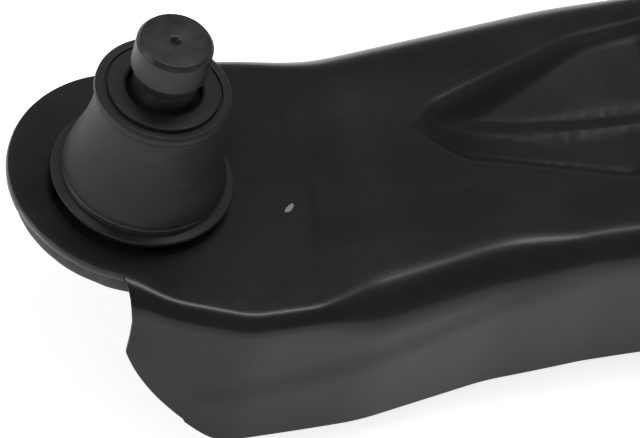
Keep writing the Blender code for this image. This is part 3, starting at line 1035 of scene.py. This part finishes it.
    def add_skin(
        self, bm: Mesh, inner: bool, plan: np.ndarray
    ) -> tuple[list[Vert], list[Vert]]:
        """Add one skin of the sheet.

        Args:
            bm: The mesh it goes in.
            inner: Whether this is the hidden skin.
            plan: The inner points of the top surface.

        Returns:
            The lowest ring and the ring round the ball joint's hole.
        """
        rings = []
        rows = self.ring_rows(inner)
        for row in rows:
            rings.append([bm.verts.new(Vector(point) * MM) for point in row])
        for upper, lower in zip(rings, rings[1:]):
            for index in range(len(upper)):
                after = (index + 1) % len(upper)
                bm.faces.new((upper[index], lower[index], lower[after], upper[after]))
        crease = self.ring_rows(False)[0][:, :2]
        angles = np.linspace(0.0, math.tau, 72, endpoint=False)
        hole = JOINT_HOLE * np.column_stack([np.cos(angles), np.sin(angles)])
        spots = np.vstack([crease, hole, plan])
        count, holes = len(crease), len(hole)
        edges = [(i, (i + 1) % count) for i in range(count)]
        edges += [(count + i, count + (i + 1) % holes) for i in range(holes)]
        found = delaunay_2d_cdt([Vector(p) for p in spots], edges, [], 0, 1e-6)
        height = self.heights(spots)
        height[:count] = 0.0
        normals = self.top_normals(spots)
        normals[:count] = (0.0, 0.0, 1.0)
        solid = np.column_stack([spots, TOP_Z + height])
        if inner:
            solid = solid - normals * SHEET
        verts = rings[0] + [bm.verts.new(Vector(p) * MM) for p in solid[count:]]
        boundary = ClosedLine(crease)
        origin = [sources[0] for sources in found[3]]
        triangles = np.array([[origin[i] for i in face] for face in found[2]])
        centres = spots[triangles].mean(axis=1)
        keep = boundary.inside_distance(centres) > 0.0
        keep &= np.hypot(centres[:, 0], centres[:, 1]) > JOINT_HOLE * 0.995
        for face in triangles[keep]:
            bm.faces.new([verts[i] for i in face])
        return rings[-1], verts[count : count + holes]

    def close_between(
        self,
        bm: Mesh,
        first: list[Vert],
        second: list[Vert],
        bulge: float,
    ) -> None:
        """Fill the sheared edge between two matching rings.

        Args:
            bm: The mesh.
            first: The visible skin's ring.
            second: The hidden skin's ring.
            bulge: How far the edge stands out, in millimetres.
        """
        count = len(first)
        start = np.array([vert.co for vert in first])
        through = np.array([vert.co for vert in second]) - start
        along = np.roll(start, -1, axis=0) - np.roll(start, 1, axis=0)
        out = np.cross(through, along)
        out /= np.maximum(np.linalg.norm(out, axis=1), 1e-9)[:, None]
        rings = [first]
        for share in (0.08, 0.25, 0.5, 0.75, 0.92):
            swell = bulge * MM * (1.0 - abs(2.0 * share - 1.0) ** 2.5)
            spots = start + share * through + swell * out
            ring = []
            for spot in spots:
                nick = noise.noise(Vector(spot) * 260.0) * 0.10 * MM * (bulge > 0.0)
                ring.append(bm.verts.new(Vector(spot) + Vector((nick, nick, 0.0))))
            rings.append(ring)
        rings.append(second)
        for upper, lower in zip(rings, rings[1:]):
            for index in range(count):
                after = (index + 1) % count
                face = bm.faces.new(
                    (upper[index], lower[index], lower[after], upper[after])
                )
                face.material_index = 1

    def trim(self, bm: Mesh, axis: int, limit: float) -> None:
        """Cut everything past a plane away and close the cut.

        Args:
            bm: The mesh.
            axis: 0 for X and 1 for Y.
            limit: Where the plane stands, in millimetres.
        """
        normal = [0.0, 0.0, 0.0]
        normal[axis] = 1.0
        point = [value * limit * MM for value in normal]
        cut = bmesh.ops.bisect_plane(
            bm,
            geom=bm.verts[:] + bm.edges[:] + bm.faces[:],
            dist=1e-7,
            plane_co=point,
            plane_no=normal,
            clear_outer=True,
        )
        edges = [e for e in cut["geom_cut"] if isinstance(e, Edge)]
        bmesh.ops.triangle_fill(bm, use_beauty=True, edges=edges)

    def saddle(self, piece: Piece, cutter: Mesh) -> None:
        """Cut a round saddle in the piece and apply it.

        Args:
            piece: The sheet.
            cutter: The shape to take away, which is freed.
        """
        mesh = bpy.data.meshes.new("cutter")
        bmesh.ops.recalc_face_normals(cutter, faces=cutter.faces)
        cutter.to_mesh(mesh)
        cutter.free()
        tool = bpy.data.objects.new("cutter", mesh)
        bpy.context.scene.collection.objects.link(tool)
        modifier = piece.modifiers.new("saddle", "BOOLEAN")
        modifier.operation = "DIFFERENCE"
        modifier.solver = "EXACT"
        modifier.object = tool
        graph = bpy.context.evaluated_depsgraph_get()
        done = bpy.data.meshes.new_from_object(piece.evaluated_get(graph))
        piece.modifiers.clear()
        old = piece.data
        piece.data = done
        bpy.data.meshes.remove(old)
        bpy.data.objects.remove(tool)

    def mark_edges(self, bm: Mesh) -> None:
        """Store how near each vertex is to a sheared edge."""
        layer = bm.verts.layers.float.new("edge")
        rim = set()
        for face in bm.faces:
            middle = face.calc_center_median()
            if face.material_index == 1 and middle.xy.length > 0.022:
                rim.update(face.verts)
        for vert in bm.verts:
            x, y, _ = vert.co / MM
            torn = -19.0 < x < -8.0 and y < -31.0
            # The torn notch gets the full mark for its wear; the other rims get a lower mark
            # that paints a faint highlight along them.
            vert[layer] = (1.0 if torn else 0.45) if vert in rim else 0.0
        for face in bm.faces:
            face.material_index = 0

    def build(self, shelf: FinishShelf) -> Piece:
        """Build the pressed sheet."""
        bm = bmesh.new()
        crease = self.ring_rows(False)[0][:, :2]
        outer, outer_hole = self.add_skin(bm, False, self.plan_points(crease, False))
        inner, inner_hole = self.add_skin(bm, True, self.plan_points(crease, True))
        self.close_between(bm, outer, inner, 0.35)
        self.close_between(bm, outer_hole, inner_hole, 0.0)
        bmesh.ops.remove_doubles(bm, verts=bm.verts, dist=0.00003)
        bmesh.ops.dissolve_degenerate(bm, dist=0.00002, edges=bm.edges)
        self.trim(bm, 0, self.front_trim_x)
        self.trim(bm, 1, self.rear_trim_y)
        self.mark_edges(bm)
        piece = finish_piece(bm, "pressed_upper_sheet", shelf.sheet, 40.0)
        for eye, axis, radius, reach in (
            (FRONT_EYE, BushAxis.ACROSS, self.front_eye_radius, 45.0),
            (REAR_EYE, BushAxis.UPRIGHT, self.rear_eye_radius, 60.0),
        ):
            section = [(0.0, -reach), (radius, -reach), (radius, reach), (0.0, reach)]
            self.saddle(piece, turned(section, eye, axis, 128, False))
        piece.data.set_sharp_from_angle(angle=math.radians(40.0))
        return place(piece, Body.ARM, "coated_sheet", "upper_stamping")


def loop_edges(
    bm: Mesh, points: Sequence[Point2], height: float
) -> list[Edge]:
    """Add a closed flat loop of edges.

    Args:
        bm: The mesh it goes in.
        points: The loop's corners in millimetres.
        height: The loop's height in millimetres.

    Returns:
        The new edges.
    """
    ring = [bm.verts.new((x * MM, y * MM, height * MM)) for x, y in points]
    return [bm.edges.new(pair) for pair in zip(ring, ring[1:] + ring[:1])]


def thicken(bm: Mesh, edges: list[Edge], height: float) -> None:
    """Fill flat loops of edges and raise the face into a slab.

    Args:
        bm: The mesh that holds only these loops.
        edges: The loops' edges.
        height: The slab's height in metres.
    """
    bmesh.ops.triangle_fill(bm, use_beauty=True, edges=edges)
    grown = bmesh.ops.extrude_face_region(bm, geom=bm.faces[:])
    raised = [v for v in grown["geom"] if isinstance(v, Vert)]
    bmesh.ops.translate(bm, verts=raised, vec=(0.0, 0.0, height))


@dataclass
class LowerPlate:
    """The flat doubling plate under the lobe, with its rough blanked edge."""

    arm: PressedArm
    inset: float = 8.6
    end_x: float = 68.0
    top: float = 12.5
    thick: float = 3.5
    shift: Point2 = (1.0, -0.8)

    def outline(self) -> list[Point2]:
        """Return the plate's outline with a slightly uneven edge."""
        line = self.arm.line
        points = line.points - line.normals() * self.inset + self.shift
        result = []
        for x, y in points[points[:, 0] < self.end_x]:
            wave = 0.16 * noise.noise(Vector((x, y, 0.0)) * 0.22)
            result.append((x + wave, y + wave))
        return result

    def build(self, shelf: FinishShelf) -> Piece:
        """Build the plate."""
        bm = bmesh.new()
        low = self.top - self.thick
        angles = np.linspace(0.0, math.tau, 96, endpoint=False)
        hole = [
            (JOINT_HOLE * math.cos(a), JOINT_HOLE * math.sin(a))
            for a in angles
        ]
        edges = loop_edges(bm, self.outline(), low) + loop_edges(bm, hole, low)
        thicken(bm, edges, self.thick * MM)
        bmesh.ops.recalc_face_normals(bm, faces=bm.faces)
        for face in bm.faces:
            if abs(face.normal.z) < 0.5 and face.calc_center_median().xy.length > 0.02:
                face.material_index = 1
        rim = [e for e in bm.edges if e.is_manifold and e.calc_face_angle() > 1.0]
        bmesh.ops.bevel(
            bm,
            geom=rim,
            offset=0.0004,
            segments=2,
            profile=0.5,
            affect="EDGES",
            material=1,
        )
        piece = finish_piece(
            bm, "doubling_plate", shelf.coat, 40.0, second=shelf.plate_edge
        )
        return place(piece, Body.ARM, "coated_sheet", "lower_plate")


@dataclass
class WeldBead:
    """A rippled weld bead laid along a path."""

    name: str
    node: str
    points: list[Point3]
    radius: float = 2.1
    closed: bool = False
    ripple: float = 1.9

    def path(self) -> list[Vector]:
        """Return the path in short even steps, in millimetres."""
        corners = [Vector(point) for point in self.points]
        if self.closed:
            corners.append(corners[0])
        result = []
        for start, end in zip(corners, corners[1:]):
            count = max(2, round((end - start).length / 0.42))
            result += [start.lerp(end, step / count) for step in range(count)]
        if not self.closed:
            result.append(corners[-1])
        return result

    def ring(
        self, bm: Mesh, here: Vector, ahead: Vector, size: float
    ) -> list[Edge]:
        """Add one cross ring of the bead and return its edges."""
        turn = ahead.to_track_quat("Z", "Y").to_matrix().to_4x4()
        made = bmesh.ops.create_circle(
            bm,
            segments=20,
            radius=size * MM,
            matrix=Matrix.Translation(here * MM) @ turn,
        )
        return list({edge for vert in made["verts"] for edge in vert.link_edges})

    def build(self, material: Material) -> Piece:
        """Build the bead."""
        bm = bmesh.new()
        path = self.path()
        last = len(path) - 1
        rings = []
        along = 0.0
        for index, here in enumerate(path):
            if index:
                along += (here - path[index - 1]).length
            before = path[index - 1] if index or self.closed else here
            after = path[0 if index == last and self.closed else min(index + 1, last)]
            wave = abs(math.sin(math.pi * along / self.ripple))
            size = self.radius * (0.88 + 0.11 * wave)
            size *= 1.0 + 0.05 * noise.noise(here * 0.35)
            if not self.closed:
                edge = min(index, last - index) * 0.42 / self.radius
                size *= math.sqrt(max(0.04, 1.0 - (1.0 - min(1.0, edge)) ** 2))
            rings.append(self.ring(bm, here, after - before, size))
        for first, second in zip(rings, rings[1:]):
            bmesh.ops.bridge_loops(bm, edges=first + second)
        if self.closed:
            bmesh.ops.bridge_loops(bm, edges=rings[-1] + rings[0])
        else:
            bmesh.ops.contextual_create(bm, geom=rings[0])
            bmesh.ops.contextual_create(bm, geom=rings[-1])
        piece = finish_piece(bm, self.name, material, 60.0)
        return place(piece, Body.ARM, "coated_weld", self.node)


def flat_arc(
    centre: Point3,
    radius: float,
    start: float,
    end: float,
    count: int,
) -> list[Point3]:
    """Return points of a level arc.

    Args:
        centre: Its centre in millimetres.
        radius: Its radius in millimetres.
        start: Its first angle in degrees.
        end: Its last angle in degrees.
        count: How many points it has.

    Returns:
        The points in millimetres.
    """
    points = []
    for index in range(count):
        angle = math.radians(start + (end - start) * index / (count - 1))
        x = centre[0] + radius * math.cos(angle)
        y = centre[1] + radius * math.sin(angle)
        points.append((x, y, centre[2]))
    return points


# -------------------------------------------------------------- the ball joint
@dataclass
class BallJoint:
    """The ball joint: housing, seats, spring, cover and the pinch bolt stud."""

    ball_z: float = 18.5
    ball: float = 12.5
    seat: float = 12.8
    neck: float = 6.5
    stud: float = 9.85
    stud_top: float = 70.3

    def ball_arc(self, radius: float, low: float, high: float, count: int) -> Profile:
        """Return points on a sphere about the ball's centre.

        Args:
            radius: The sphere's radius.
            low: The first height from the centre.
            high: The last height from the centre.
            count: How many points.

        Returns:
            The points as (radius, height).
        """
        points = []
        for index in range(count):
            height = low + (high - low) * index / (count - 1)
            across = math.sqrt(max(0.0, radius**2 - height**2))
            points.append((across, self.ball_z + height))
        return points

    def housing(self, shelf: FinishShelf) -> None:
        """Build the pressed-in cup with its flange."""
        corners = [
            (22.0, 18.6, 0.5),
            (22.0, 16.3, 0.5),
            (18.5, 16.3, 0.0),
            (18.5, 1.2, 0.9),
            (17.9, 0.4, 0.3),
            (17.2, 0.4, 0.2),
            (17.2, 3.8, 0.0),
            (15.8, 3.8, 0.0),
            (15.8, 26.2, 0.3),
            (14.9, 27.2, 0.3),
            (12.6, 27.2, 0.3),
            (13.4, 29.5, 0.6),
            (15.2, 29.5, 0.8),
            (17.0, 27.0, 1.0),
            (18.3, 23.0, 1.0),
            (18.3, 18.6, 0.3),
        ]
        section = rounded(corners)
        names = ("dark_steel", "joint_housing")
        turn_piece("ball_housing", section, shelf.housing, *names, steps=128)

    def seats(self, shelf: FinishShelf) -> None:
        """Build the two plastic bearing seats."""
        lower = self.ball_arc(self.seat, -11.6, -0.3, 28)
        lower += [(15.5, 18.2), (15.5, 8.0), (13.0, 5.6), (5.0, 5.6)]
        names = ("seat_plastic", "lower_ball_seat")
        turn_piece("bearing_seat_lower", lower, shelf.seat, *names)
        upper = self.ball_arc(self.seat, 7.0, 0.0, 20)
        upper += [(15.5, 18.5), (15.5, 25.9), (14.6, 26.9), (12.0, 26.9)]
        names = ("seat_plastic", "upper_ball_seat")
        turn_piece("bearing_seat_upper", upper, shelf.seat, *names)

    def spring(self, shelf: FinishShelf) -> None:
        """Build the coned disc spring under the lower seat."""
        section = [(7.0, 5.3), (7.0, 4.6), (14.4, 3.8), (14.4, 4.5)]
        profile = rounded([(*corner, 0.15) for corner in section], 3)
        names = ("spring_steel", "preload_spring")
        turn_piece("disc_spring", profile, shelf.spring, *names)

    def cover(self, shelf: FinishShelf) -> None:
        """Build the pressed-in bottom cover with its dished face."""
        profile = [(0.0, 3.5), (16.3, 3.5), (16.9, 3.0), (16.9, 0.6)]
        profile += [(16.7, 0.2), (16.2, 0.0), (9.2, 0.0), (8.4, 0.3), (0.0, 0.5)]
        turn_piece(
            "bottom_cover",
            profile,
            shelf.housing,
            "dark_steel",
            "joint_cover",
            steps=128,
            closed=False,
        )

    def stud_profile(self) -> Profile:
        """Return the stud's section from the centre drill down to the ball."""
        top, wide = self.stud_top, self.stud
        corners = [
            (0.0, top - 1.5, 0.0),
            (0.3, top - 1.3, 0.0),
            (1.3, top - 0.1, 0.1),
            (1.7, top, 0.15),
            (wide - 1.0, top, 0.5),
            (wide - 0.1, top - 1.3, 0.4),
            (wide, top - 9.0, 0.5),
            (9.2, top - 10.6, 1.2),
            (8.2, top - 12.6, 1.4),
            (8.2, top - 18.0, 1.2),
            (9.2, top - 19.0, 0.8),
            (wide, top - 20.2, 0.6),
            (wide, 40.0, 1.0),
            (self.neck, 33.0, 2.5),
        ]
        profile = rounded(corners, 5)
        profile.append((self.neck, self.ball_z + math.sqrt(self.ball**2 - self.neck**2)))
        profile += self.ball_arc(self.ball, 10.0, -self.ball, 40)
        return profile

    def stud_piece(self, shelf: FinishShelf) -> None:
        """Build the ball stud."""
        turn_piece(
            "pinch_stud",
            self.stud_profile(),
            shelf.stud,
            "stud_steel",
            "ball_stud",
            Body.STUD,
            128,
            False,
            28.0,
        )

    def build(self, shelf: FinishShelf) -> None:
        """Build the whole joint."""
        self.housing(shelf)
        self.seats(shelf)
        self.spring(shelf)
        self.cover(shelf)
        self.stud_piece(shelf)


@dataclass
class DustBoot:
    """The moulded boot: a skirt on the housing, a bell and a lipped collar."""

    seam: float = 36.0
    rubber: float = 1.9
    steps: int = 160

    def bell(self, height: float) -> float:
        """Return the bell's outer radius at a height."""
        heights = (24.0, 25.2, 27.0, 29.0, 32.0, 36.0, 40.0, 44.0, 48.0)
        radii = (20.75, 20.5, 20.0, 19.4, 18.5, 17.6, 16.95, 16.6, 16.45)
        return float(np.interp(height, heights, radii))

    def lower(self, shelf: FinishShelf) -> None:
        """Build the skirt and the lower bell."""
        corners = [
            (18.9, 19.0, 0.2),
            (23.2, 19.0, 0.25),
            (23.55, 19.45, 0.2),
            (23.3, 20.0, 0.2),
            (20.9, 20.35, 0.5),
            (20.2, 21.0, 0.4),
            (20.2, 21.9, 0.4),
            (20.9, 22.2, 0.2),
            (21.15, 22.7, 0.25),
            (21.1, 23.3, 0.3),
        ]
        outer = rounded(corners)
        rise = np.linspace(24.0, self.seam, 26)
        outer += [(self.bell(z), z) for z in rise]
        wall = [(self.bell(z) - self.rubber, z) for z in rise[::-1]]
        bm = turned(outer + wall + [(18.9, 23.6)], steps=self.steps)
        piece = finish_piece(bm, "boot_lower_bell", shelf.boot)
        nodes = ("boot_base", "boot_bellows")
        bodies = (Body.ARM, Body.BOOT_MIDDLE)
        bend(piece, "boot_rubber", nodes, bodies, (0.0235, self.seam * MM))

    def upper(self, shelf: FinishShelf) -> None:
        """Build the upper bell and the collar."""
        rise = np.linspace(self.seam, 48.0, 26)
        outer = [(self.bell(z), z) for z in rise]
        corners = [
            (16.7, 48.9, 0.6),
            (17.25, 49.8, 0.3),
            (17.5, 50.6, 0.3),
            (17.35, 52.0, 0.4),
            (16.4, 52.5, 0.5),
            (15.0, 52.4, 0.12),
            (14.9, 51.6, 0.12),
            (14.4, 51.7, 0.12),
            (14.2, 53.0, 0.35),
            (10.3, 53.4, 0.4),
            (9.6, 53.0, 0.2),
            (9.6, 52.4, 0.2),
            (10.3, 51.5, 0.2),
            (10.3, 50.6, 0.2),
            (13.6, 49.6, 0.3),
        ]
        outer += rounded(corners)
        wall = [(self.bell(z) - self.rubber, z) for z in rise[::-1]]
        wall = [(min(across, 15.0), z) if z > 46.5 else (across, z) for across, z in wall]
        bm = turned(outer + wall, steps=self.steps)
        piece = finish_piece(bm, "boot_upper_bell", shelf.boot)
        bodies = (Body.BOOT_MIDDLE, Body.BOOT_TOP)
        bend(piece, "boot_rubber", ("boot_collar",), bodies, (self.seam * MM, 0.048))

    def rings(self, shelf: FinishShelf) -> None:
        """Build the clamp ring in the groove and the stiffener in the collar."""
        lower = [(20.0, 21.0), (20.5, 20.75), (20.8, 21.4), (20.5, 22.0), (20.0, 21.8)]
        names = ("ring_steel", "boot_lower_ring")
        turn_piece("boot_clamp_ring", lower, shelf.ring, *names, steps=128)
        upper = [(12.7, 46.8), (14.2, 46.8), (13.4, 49.0), (12.7, 49.0)]
        names = ("ring_steel", "boot_upper_ring")
        turn_piece("collar_stiffener", upper, shelf.ring, *names, body=Body.BOOT_TOP)

    def build(self, shelf: FinishShelf) -> None:
        """Build the boot and its rings."""
        self.lower(shelf)
        self.upper(shelf)
        self.rings(shelf)


# ------------------------------------------------------------------ the bushes
@dataclass
class RubberBush:
    """A bonded rubber bush in its welded eye."""

    name: str
    centre: Point3
    axis: BushAxis
    inner_body: Body
    eye: Point3
    can: Point3
    rubber: Point3
    inner: Point3

    def sleeve(
        self,
        name: str,
        sizes: Point3,
        material: Material,
        edge: float,
    ) -> Piece:
        """Build one plain sleeve with softened ends.

        Args:
            name: The piece's name.
            sizes: Its inner radius, outer radius and length.
            material: Its finish.
            edge: The radius of its ends' corners.

        Returns:
            The sleeve.
        """
        low, high, length = sizes
        half = length / 2.0
        section = [(low, -half), (high, -half), (high, half), (low, half)]
        profile = rounded([(*corner, edge) for corner in section], 5)
        bm = turned(profile, self.centre, self.axis, 128)
        return finish_piece(bm, name, material)

    def rubber_piece(self, shelf: FinishShelf) -> Piece:
        """Build the rubber with its bonded fillets and hollowed end faces."""
        low, high, length = self.rubber
        half = length / 2.0
        span = high - low
        face = []
        for share in np.linspace(0.0, 1.0, 19):
            dip = 2.6 * math.sin(math.pi * share) ** 0.8
            face.append((low + span * share, half - dip))
        under = [(across, -height) for across, height in face]
        profile = under + face[::-1]
        bm = turned(profile, self.centre, self.axis, 128)
        return finish_piece(bm, f"{self.name}_bush_block", shelf.bush)

    def build(self, shelf: FinishShelf, eye_node: str, can_node: str) -> None:
        """Build the eye, the outer sleeve, the rubber and the inner sleeve.

        Args:
            shelf: The finishes.
            eye_node: The eye's CAD node.
            can_node: The outer sleeve's CAD node.
        """
        eye = self.sleeve(f"{self.name}_eye", self.eye, shelf.coat, 0.7)
        place(eye, Body.ARM, "coated_sheet", eye_node)
        can = self.sleeve(f"{self.name}_outer_shell", self.can, shelf.zinc, 0.6)
        place(can, Body.ARM, "zinc_steel", can_node)
        rubber = self.rubber_piece(shelf)
        place(rubber, Body.ARM, "bush_rubber", f"{self.name}_bush_rubber")
        inner = self.sleeve(f"{self.name}_crush_tube", self.inner, shelf.zinc, 0.8)
        place(inner, self.inner_body, "zinc_steel", f"{self.name}_bush_inner_sleeve")


@dataclass
class PaintChip:
    """A small bare fleck where the coat is knocked off the sheet."""

    spot: Point3 = (34.5, -17.3, 16.0)
    size: Point2 = (1.75, 0.72)
    turn: float = 35.0
    thick: float = 0.06
    count: int = 22

    def build(self, shelf: FinishShelf) -> None:
        """Build the fleck as a thin ragged scale on the surface."""
        bm = bmesh.new()
        points = []
        for index in range(self.count):
            angle = math.tau * index / self.count
            across, up = math.cos(angle), math.sin(angle)
            ragged = 1.0 + 0.30 * noise.noise(Vector((across, up, 3.1)) * 2.6)
            points.append((self.size[0] * ragged * across, self.size[1] * ragged * up))
        edges = loop_edges(bm, points, 0.0)
        thicken(bm, edges, self.thick * MM)
        turn = Matrix.Rotation(math.radians(self.turn), 4, "Z")
        place_at = Matrix.Translation([value * MM for value in self.spot])
        bmesh.ops.transform(bm, matrix=place_at @ turn, verts=bm.verts)
        piece = finish_piece(bm, "bare_fleck", shelf.chip)
        place(piece, Body.ARM, "coated_sheet")


# --------------------------------------------------------------------- studio
@dataclass
class Studio:
    """The floor, the lights and the camera."""

    focus: Point3 = (0.0, 0.0, 0.019)
    azimuth: float = 33.0
    elevation: float = 48.0
    lean: float = 14.3
    distance: float = 1.4
    lens: float = 311.1
    aim_right: float = 0.03222
    aim_down: float = 0.00788

    def floor(self) -> None:
        """Lay the floor just under the lowest wall."""
        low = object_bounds()[0]
        bm = bmesh.new()
        bmesh.ops.create_grid(bm, x_segments=8, y_segments=8, size=6.0)
        bmesh.ops.translate(bm, verts=bm.verts, vec=(0.0, 0.0, low.z - 0.0002))
        floor = finish_piece(bm, "floor", PaleFloor().material(), recalc=False)
        floor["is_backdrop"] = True

    def area_light(
        self,
        name: str,
        place_at: Sequence[float],
        look_at: Sequence[float],
        size: Point2,
        power: float,
        colour: Sequence[float] = (1.0, 1.0, 1.0),
    ) -> None:
        """Hang one soft light.

        Args:
            name: The light's name.
            place_at: Where it hangs.
            look_at: What it faces.
            size: Its width and height.
            power: Its power in watts.
            colour: Its colour.
        """
        data = bpy.data.lights.new(name, "AREA")
        data.shape = "RECTANGLE"
        data.size, data.size_y = size
        data.energy = power
        data.color = colour
        lamp = bpy.data.objects.new(name, data)
        bpy.context.scene.collection.objects.link(lamp)
        lamp.location = place_at
        aim = Vector(look_at) - Vector(place_at)
        lamp.rotation_euler = aim.to_track_quat("-Z", "Y").to_euler()

    def lights(self) -> None:
        """Hang the lights and set the room's tone."""
        target = (0.08, 0.0, 0.02)
        warm = (1.0, 0.97, 0.94)
        self.area_light("key", (0.26, 0.30, 1.36), target, (1.0, 0.26), 10.0, warm)
        self.area_light("left", (-1.3, 0.25, 0.55), target, (0.6, 1.0), 6.0)
        world = bpy.data.worlds.new("room")
        bpy.context.scene.world = world
        world.use_nodes = True
        back = world.node_tree.nodes["Background"]
        back.inputs["Color"].default_value = (0.9, 0.92, 1.0, 1.0)
        back.inputs["Strength"].default_value = 0.26

    def camera(self) -> None:
        """Set the camera where the arm is seen from."""
        turn, rise = math.radians(self.azimuth), math.radians(self.elevation)
        lean = math.radians(self.lean)
        level_x = math.sin(turn) * math.cos(rise)
        level_y = math.cos(turn) * math.cos(rise)
        ahead = Vector((level_x, level_y, -math.sin(rise)))
        level = Vector((math.cos(turn), -math.sin(turn), 0.0))
        upright = level.cross(ahead)
        right = level * math.cos(lean) + upright * math.sin(lean)
        up = upright * math.cos(lean) - level * math.sin(lean)
        forward = (ahead + right * self.aim_right - up * self.aim_down).normalized()
        side = forward.cross(up).normalized()
        top = side.cross(forward).normalized()
        data = bpy.data.cameras.new("camera")
        data.sensor_width = 36.0
        data.lens = self.lens
        data.clip_start = 0.02
        data.clip_end = 30.0
        camera = bpy.data.objects.new("camera", data)
        bpy.context.scene.collection.objects.link(camera)
        matrix = np.eye(4)
        matrix[:3, 0] = side
        matrix[:3, 1] = top
        matrix[:3, 2] = -forward
        matrix[:3, 3] = Vector(self.focus) - ahead * self.distance
        camera.matrix_world = Matrix(matrix.tolist())
        bpy.context.scene.camera = camera

    def build(self) -> None:
        """Set up the whole studio."""
        self.camera()
        self.floor()
        self.lights()
        bpy.context.scene.view_settings.view_transform = "Standard"


def welds() -> list[WeldBead]:
    """Return the three weld beads."""
    gaps, bead = 0.6, 2.2
    under = TOP_Z - 2.0 * SHEET - gaps - bead
    ring = flat_arc((0.0, 0.0, under), 21.0, 0.0, 355.0, 72)
    x, z = FRONT_EYE[0] - 12.6, 17.7
    seam = [(x, -78.0, z), (x, FRONT_EYE[1], z), (x, -42.0, z)]
    arc = flat_arc((*REAR_EYE[:2], 18.5), 33.8, 226.0, 308.0, 40)
    return [
        WeldBead("housing_bead", "housing_weld", ring, closed=True),
        WeldBead("front_eye_bead", "front_eye_weld", seam),
        WeldBead("rear_eye_bead", "rear_eye_weld", arc),
    ]


def main() -> None:
    """Load the frame and build everything in order."""
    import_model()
    shelf = FinishShelf()
    arm = PressedArm()
    arm.build(shelf)
    LowerPlate(arm).build(shelf)
    BallJoint().build(shelf)
    DustBoot().build(shelf)
    for bead in welds():
        bead.build(shelf.weld)
    front = RubberBush(
        name="front",
        centre=FRONT_EYE,
        axis=BushAxis.ACROSS,
        inner_body=Body.FRONT_INNER,
        eye=(21.0, 24.0, 50.0),
        can=(18.2, 20.7, 51.0),
        rubber=(9.8, 17.9, 48.0),
        inner=(6.2, 9.5, 58.0),
    )
    front.build(shelf, "front_eye_tube", "front_bush_outer_sleeve")
    rear = RubberBush(
        name="rear",
        centre=REAR_EYE,
        axis=BushAxis.UPRIGHT,
        inner_body=Body.REAR_INNER,
        eye=(28.0, 31.0, 40.0),
        can=(25.5, 27.7, 41.0),
        rubber=(11.3, 25.2, 36.0),
        inner=(7.2, 11.0, 50.0),
    )
    rear.build(shelf, "rear_eye_ring", "rear_bush_outer_can")
    PaintChip().build(shelf)
    Studio().build()


if __name__ == "__main__":
    main()
